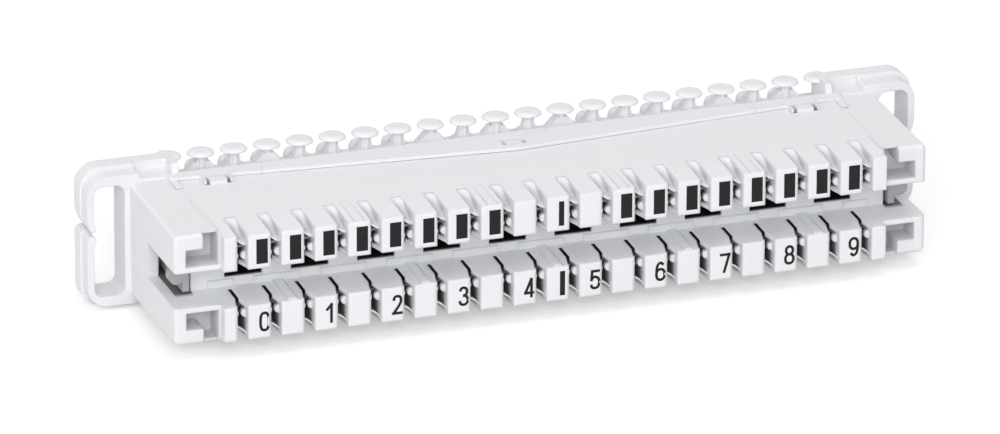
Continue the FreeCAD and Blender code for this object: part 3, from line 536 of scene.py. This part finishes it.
def addRamps():
    # a sheet over a grid of depths and places across the slot, closer together near the fingers
    rows, columns = ramp["grid"]
    deep = np.linspace(ramp["front"], ramp["end"], rows)[:, None]
    across = row["gapHalf"] * np.sin(np.linspace(-np.pi / 2, np.pi / 2, columns)) + 0 * deep
    deep = deep + 0 * across
    upper = np.stack([across, deep, onRamp(across, deep)], 2)
    points, faces = closedSheet(upper, upper - (0, 0, ramp["thick"]))
    places = [atRow(centre, 0, 0) for centre in slotCentres()]
    for rowName, way in (("upper", 1), ("lower", -1)):
        copies = repeated(points * (way, 1, way), faces, places)
        addPiece(f"{rowName}_wire_ramps", *copies, whitePlastic, smooth=True)


comb = {
    "stemDeep": 26.6 * mm,           # front of the stems, behind the finger fronts
    "capDeep": 27.3 * mm,
    "postDeep": 30.26 * mm,
    "postHigh": 6.4 * mm,
    "posts": [*range(1, 8), *range(13, 20)],
    # radius and height over the middle plane, in millimetres
    "cap": [(0, 9.42), (0.72, 9.44), (1.05, 9.55), (1.55, 9.66), (1.90, 9.70), (1.94, 9.75), (1.94, 9.83),
            (1.90, 9.95), (1.78, 10.07), (1.60, 10.17), (1.38, 10.25), (1.18, 10.29), (0.95, 10.295),
            (0.5, 10.27), (0, 10.26)],
    "rib": [(0, 7.3), (0.66, 7.36), (0.52, 7.60), (0.45, 7.95), (0.43, 8.4), (0.43, 9.3), (0.50, 9.5),
            (0.60, 9.6), (0, 9.62)],
    # radius and depth of the round tops of the posts
    "post": [(0, 0), (0.95, 0), (1.06, 0.04), (1.105, 0.14), (1.105, 1.14), (1.06, 1.24), (0.95, 1.28),
             (0, 1.28)],
    "steps": {"cap": 32, "rib": 20, "post": 32},   # faces round each of them
}


def addComb():
    # each shape is turned once from its profile and repeated behind the fingers
    cap, rib, post = (revolved(np.array(comb[name]) * mm, comb["steps"][name]) for name in comb["steps"])
    stems = range(row["fingers"])
    places = [atRow(fingerCentre(number), comb["capDeep"], 0) for number in stems]
    addPiece("comb_caps", *repeated(*cap, places), whitePlastic, smooth=True)
    places = [atRow(fingerCentre(number), comb["stemDeep"], 0) for number in stems[1:-1]]
    addPiece("comb_ribs", *repeated(*rib, places), whitePlastic, smooth=True)
    places = [atRow(fingerCentre(number), comb["postDeep"], comb["postHigh"]) for number in comb["posts"]]
    addPiece("comb_posts", *repeated(layDown(post[0]), post[1], places), whitePlastic, smooth=True)


addBeads()
addRamps()
addComb()
print("moulded shapes added")

# printed marks


inkFilm = 0.01 * mm


def onFinger(across, number):
    # depth of a finger's front surface: flat, then falling away at forty five degrees at its upright edges
    past = np.abs(across - fingerCentre(number)) - (row["fingerWide"] / 2 - row["edgeCut"])
    return fingerFront + np.clip(past - 3 * inkFilm, 0, row["edgeCut"])


def inkRibbon(path, wide, number, closed=False, film=inkFilm):
    # a thin four-sided band: each point of the path moved half the width along its normal,
    # once to each side, and both again one film thickness in front of the finger
    step = np.roll(path, -1, 0) - np.roll(path, 1, 0)
    if not closed:
        step[0], step[-1] = path[1] - path[0], path[-1] - path[-2]
    step /= np.linalg.norm(step, axis=1)[:, None]
    side = np.stack([-step[:, 1], step[:, 0]], 1) * wide / 2
    ends = np.concatenate([path + side, path - side])
    back = np.stack([ends[:, 0], onFinger(ends[:, 0], number) + inkFilm, ends[:, 1]], 1)
    front = back - (0, inkFilm + film, 0)
    points = np.concatenate([back, front])
    count = len(path)
    here = np.arange(count if closed else count - 1)
    after = (here + 1) % count
    left, right, backs = 0, count, 2 * count
    bands = [
        (backs + left + here, backs + left + after, backs + right + after, backs + right + here),
        (left + here, right + here, right + after, left + after),
        (left + here, left + after, backs + left + after, backs + left + here),
        (right + here, backs + right + here, backs + right + after, right + after),
    ]
    faces = np.concatenate([np.stack(band, 1) for band in bands]).tolist()
    if not closed:
        faces.append([left, backs + left, backs + right, right])
        faces.append([corner + count - 1 for corner in (left, right, backs + right, backs + left)])
    return points, faces


def flowing(points, per=10):
    # a smooth curve through the points: the cubic whose slope at each point is half the step
    # between its neighbours
    points = np.array(points, float)
    padded = np.concatenate([2 * points[:1] - points[1:2], points, 2 * points[-1:] - points[-2:-1]])
    share = np.linspace(0, 1, per, endpoint=False)[:, None]
    before, start, end, later = padded[:-3], padded[1:-2], padded[2:-1], padded[3:]
    pieces = [0.5 * (2 * b + (c - a) * share + (2 * a - 5 * b + 4 * c - d) * share ** 2
                     + (3 * b - a - 3 * c + d) * share ** 3)
              for a, b, c, d in zip(before, start, end, later)]
    return np.concatenate([*pieces, points[-1:]])


def oval(centre, reach, squareness=1.0, steps=48):
    # a closed oval: cosine and sine, each raised to a power that squares its shoulders
    angle = np.linspace(0, 2 * np.pi, steps, endpoint=False)
    shape = np.stack([np.cos(angle), np.sin(angle)], 1)
    return np.array(centre) + np.sign(shape) * np.abs(shape) ** squareness * np.array(reach)


# every stroke is drawn in a unit square: a straight run, a flowing line or a closed oval
digitStrokes = {
    0: [("oval", (0.5, 0.5), (0.5, 0.5), 0.72)],
    1: [("line", [(0.10, 0.74), (0.60, 1.0), (0.60, 0.0)])],
    2: [("flow", [(0.05, 0.74), (0.17, 0.93), (0.5, 1.0), (0.86, 0.92), (0.94, 0.70), (0.74, 0.47),
                  (0.36, 0.2), (0.04, 0.0)]),
        ("line", [(0.0, 0.0), (1.0, 0.0)])],
    3: [("flow", [(0.07, 0.80), (0.2, 0.95), (0.5, 1.0), (0.84, 0.92), (0.90, 0.72), (0.74, 0.57),
                  (0.42, 0.53)]),
        ("flow", [(0.42, 0.53), (0.80, 0.49), (1.0, 0.27), (0.86, 0.07), (0.5, 0.0), (0.14, 0.07),
                  (0.0, 0.24)])],
    4: [("line", [(0.70, 1.0), (0.0, 0.21), (1.0, 0.21)]), ("line", [(0.74, 1.0), (0.74, 0.0)])],
    5: [("line", [(0.92, 1.0), (0.13, 1.0), (0.05, 0.50)]),
        ("flow", [(0.05, 0.50), (0.24, 0.62), (0.5, 0.66), (0.88, 0.56), (1.0, 0.32), (0.86, 0.08),
                  (0.48, 0.0), (0.12, 0.06), (0.0, 0.22)])],
    6: [("oval", (0.5, 0.31), (0.5, 0.31), 0.86),
        ("flow", [(0.0, 0.31), (0.02, 0.58), (0.16, 0.88), (0.52, 1.0), (0.88, 0.86)])],
    7: [("line", [(0.0, 1.0), (1.0, 1.0), (0.40, 0.0)])],
    8: [("oval", (0.5, 0.77), (0.42, 0.23), 0.9), ("oval", (0.5, 0.27), (0.5, 0.27), 0.9)],
    9: [("oval", (0.5, 0.69), (0.5, 0.31), 0.86),
        ("flow", [(1.0, 0.69), (0.98, 0.42), (0.84, 0.12), (0.48, 0.0), (0.12, 0.14)])],
}

digit = {
    "wide": 1.60 * mm,
    "tall": 2.95 * mm,
    "stroke": 0.40 * mm,
    # how far each digit stands right of its finger's centre
    "aside": np.array([0.60, 0.50, 0.54, 0.55, 0.55, 0.55, 0.55, 0.48, 0.40, 0.36]) * mm,
    "height": -5.2 * mm,         # centre of the digit above the middle plane
    "everyOther": 2,             # digits stand on each second finger
    "firstFinger": 1,
    "runPoints": 8,              # points along a straight run
    "filmSteps": (0.2, 0.1),     # each next stroke, and each run of one, is printed a little thicker
}


def printDigits():
    for value, strokes in digitStrokes.items():
        number = digit["everyOther"] * value + digit["firstFinger"]
        centre = np.array([fingerCentre(number) + digit["aside"][value], midHeight + digit["height"]])
        room = np.array([digit["wide"], digit["tall"]]) - digit["stroke"]
        corner = centre - room / 2
        for count, (kind, *shape) in enumerate(strokes, start=1):
            if kind == "oval":
                path = oval(*shape)
            elif kind == "flow":
                path = flowing(shape[0])
            else:
                path = np.array(shape[0], float)
            runs = [path] if kind != "line" else [path[at:at + 2] for at in range(len(path) - 1)]
            for part, run in enumerate(runs, start=1):
                run = corner + run * room
                if kind == "line":
                    reach = (run[1] - run[0]) / np.linalg.norm(run[1] - run[0]) * digit["stroke"] / 2
                    run = np.linspace(run[0] - reach, run[1] + reach, digit["runPoints"])
                # where strokes cross, one lies on the other
                film = inkFilm * (1 + np.dot(digit["filmSteps"], (count, part)))
                closed = kind == "oval"
                points, faces = inkRibbon(run, digit["stroke"], number, closed=closed, film=film)
                addPiece(f"digit{value}_stroke{count}_{part}", points, faces, blackInk)


mark = {
    "wide": 1.6625 * mm,
    "tall": 3.65 * mm,
    "aside": 0.29 * mm,
    "height": 5.29 * mm,
    "fingers": [*range(1, 9), *range(12, 20)],
}
middleBars = {
    "upper": {"wide": 0.7885 * mm, "tall": 3.65 * mm, "aside": 0.375 * mm, "height": 5.35 * mm},
    "lower": {"wide": 0.76 * mm, "tall": 3.65 * mm, "aside": 0.57 * mm, "height": -5.12 * mm},
    "finger": 10,
    "steps": 16,                 # points across each bar, so that it follows the edge of its finger
}


def printBar(name, number, size):
    centre = np.array([fingerCentre(number) + size["aside"], midHeight + size["height"]])
    reach = np.array([size["wide"] / 2, 0])
    path = np.linspace(centre - reach, centre + reach, middleBars["steps"])
    points, faces = inkRibbon(path, size["tall"], number)
    addPiece(name, points, faces, blackInk)


def printMarks():
    for number in mark["fingers"]:
        printBar(f"mark{number}", number, mark)
    for rowName in ("upper", "lower"):
        printBar(f"{rowName}MiddleBar", middleBars["finger"], middleBars[rowName])


printDigits()
printMarks()
print("marks printed")

# floor and light

studio = {
    "floorDrop": 0.05 * mm,
    "floorSize": 6,
    "floorColour": (0.80, 0.80, 0.80),
    "floorRoughness": 0.9,
    "floorSpecular": 0.1,
    "floorGlow": 0.34,
    "skyFill": 0.515,
    "lamps": [
        # name, place, size, watts
        ("keySoftbox", (-0.45, -1.15, 0.62), 0.7, 9.0),
        ("topSoftbox", (0.25, -0.1, 1.3), 0.7, 3.2),
        ("leftFill", (-1.2, -0.3, 0.5), 0.7, 2.5),
    ],
}


def whiteForCamera(nodes, links):
    # 1 for the rays of the camera and of mirror-like surfaces, which see a paler floor and a plain white
    # sky, and 0 for the rays that light everything else
    rays = nodes.new("ShaderNodeLightPath").outputs
    work = arithmetic(nodes, links)
    seen = work("MAXIMUM", rays["Is Camera Ray"], rays["Is Glossy Ray"])
    return work("MAXIMUM", seen, rays["Is Transmission Ray"])


def buildStudio():
    bpy.ops.mesh.primitive_plane_add(size=studio["floorSize"])
    floor = bpy.context.object
    floor.name = "floor"
    floor.data.transform(Matrix.Translation((0, 0, rearLow.z - studio["floorDrop"])))
    material, nodes, links, shader = newMaterial("paleFloor")[:4]
    shader.inputs["Base Color"].default_value = (*studio["floorColour"], 1)
    shader.inputs["Roughness"].default_value = studio["floorRoughness"]
    shader.inputs["Specular IOR Level"].default_value = studio["floorSpecular"]
    shader.inputs["Emission Color"].default_value = (1, 1, 1, 1)
    glow = arithmetic(nodes, links)("MULTIPLY", whiteForCamera(nodes, links), studio["floorGlow"])
    links.new(glow, shader.inputs["Emission Strength"])
    floor.data.materials.append(material)

    world = bpy.data.worlds.new("studio")
    world.use_nodes = True
    bpy.context.scene.world = world
    nodes, links = world.node_tree.nodes, world.node_tree.links
    sky = nodes["Background"]
    sky.inputs["Color"].default_value = (1, 1, 1, 1)
    strength = spread(nodes, links, whiteForCamera(nodes, links), (studio["skyFill"], 1))
    links.new(strength, sky.inputs["Strength"])

    for name, place, size, watts in studio["lamps"]:
        lamp = bpy.data.lights.new(name, "AREA")
        lamp.energy, lamp.size = watts, size
        holder = bpy.data.objects.new(name, lamp)
        holder.location = place
        holder.rotation_euler = (-Vector(place)).to_track_quat("-Z", "Y").to_euler()
        bpy.context.scene.collection.objects.link(holder)


buildStudio()
bpy.context.scene.view_settings.view_transform = "Standard"
print("studio built")
